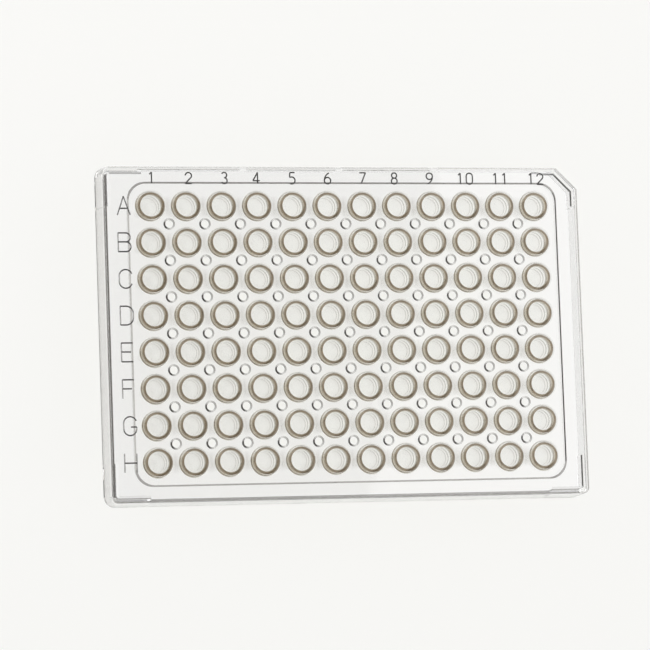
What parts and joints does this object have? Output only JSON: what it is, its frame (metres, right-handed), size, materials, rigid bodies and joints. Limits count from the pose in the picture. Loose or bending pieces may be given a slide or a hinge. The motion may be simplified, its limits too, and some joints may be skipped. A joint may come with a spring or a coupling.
{
  "type": "well plate",
  "caption": "Clear semi-skirted low-profile well plate: a flat deck with raised well rims, conical tubes hanging below it, vent holes between the wells, and one corner cut off as a key.",
  "frame": {"origin": "centre of the plate in plan, at the level of the tube tips that it stands on", "axes": "+X along the rows towards column 12, +Y along the columns towards row A, +Z out of the wells"},
  "size_m": [0.1238, 0.0838, 0.0155],
  "materials": {
    "clear_plastic": "clear, gloss"
  },
  "bodies": {
    "root": {"plate": "clear_plastic"}
  },
  "joints": []
}
